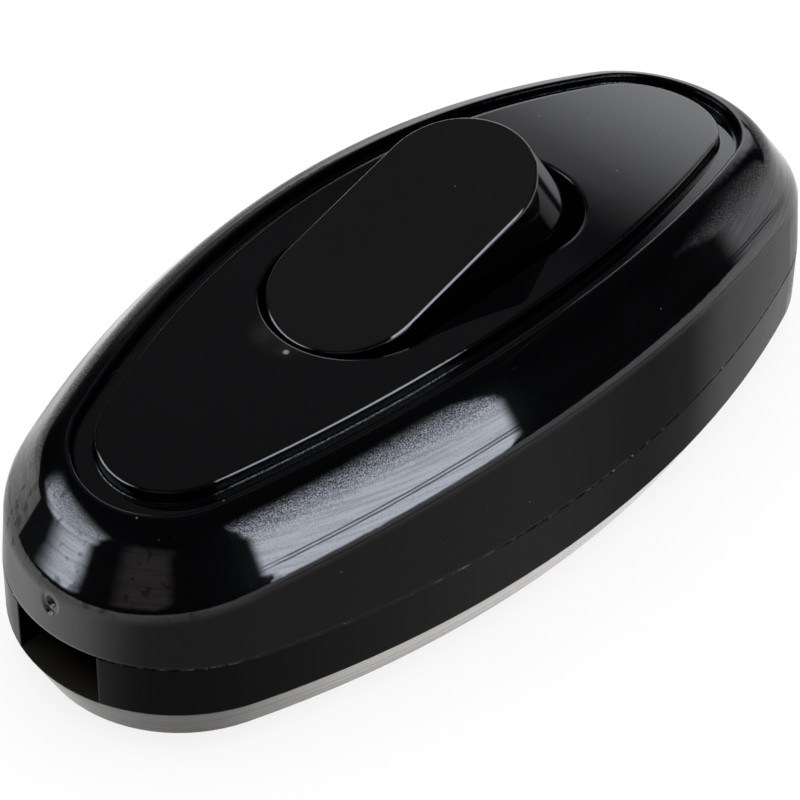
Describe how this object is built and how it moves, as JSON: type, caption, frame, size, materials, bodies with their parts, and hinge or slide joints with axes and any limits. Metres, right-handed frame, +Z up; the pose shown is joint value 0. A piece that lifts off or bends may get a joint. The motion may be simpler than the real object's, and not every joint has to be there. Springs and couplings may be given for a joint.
{
  "type": "inline cord switch",
  "caption": "Oval black inline cord switch: two-part moulded housing with a cord slot at each end and a rocker that tips a sprung contact bar.",
  "frame": {"origin": "middle of the underside, on the surface the switch lies on", "axes": "+X along the cord, towards the raised end of the rocker; +Z up"},
  "size_m": [0.07, 0.0318, 0.0247],
  "materials": {
    "cover_plastic": "polished black moulding",
    "base_plastic": "polished black moulding",
    "rocker_plastic": "polished black moulding",
    "plunger_plastic": "natural nylon",
    "clamp_plastic": "satin black moulding",
    "spring_steel": "bright spring wire",
    "brass": "stamped brass strip",
    "terminal_brass": "machined brass bar",
    "silver": "silver contact alloy",
    "screw_steel": "zinc plated steel"
  },
  "bodies": {
    "housing": {"top_cover": "cover_plastic", "base_shell": "base_plastic", "fixed_contact": "silver", "common_strip": "brass", "fixed_strip": "brass", "strip_rivets": "brass", "common_terminal": "terminal_brass", "switched_terminal": "terminal_brass", "terminal_screws": "screw_steel", "neutral_connector": "terminal_brass", "neutral_screws": "screw_steel", "cord_clamp_far": "clamp_plastic", "cord_clamp_near": "clamp_plastic", "clamp_screws": "screw_steel", "housing_screws": "screw_steel"},
    "rocker_body": {"rocker": "rocker_plastic", "plunger_spring": "spring_steel"},
    "plunger_body": {"plunger": "plunger_plastic"},
    "blade_body": {"contact_blade": "brass", "moving_contact": "silver"}
  },
  "joints": [
    {"name": "rocker_tilt", "type": "hinge", "parent": "housing", "child": "rocker_body", "pos_m": [0, 0, 0.014], "axis": [0, 1, 0], "range_deg": [0, 33]},
    {"name": "plunger_slide", "type": "slide", "parent": "rocker_body", "child": "plunger_body", "axis": [-0.284, 0, 0.9588], "range_m": [0, 0.00045], "stiffness_N_per_m": 800, "springref_m": -0.003, "deforming": ["plunger_spring"]},
    {"name": "blade_rock", "type": "hinge", "parent": "housing", "child": "blade_body", "pos_m": [0, 0, 0.0056], "axis": [0, 1, 0], "range_deg": [-12, 0]}
  ],
  "couplings": [
    {"joint": "blade_rock", "follows": "rocker_tilt", "ratio": -0.3636}
  ]
}
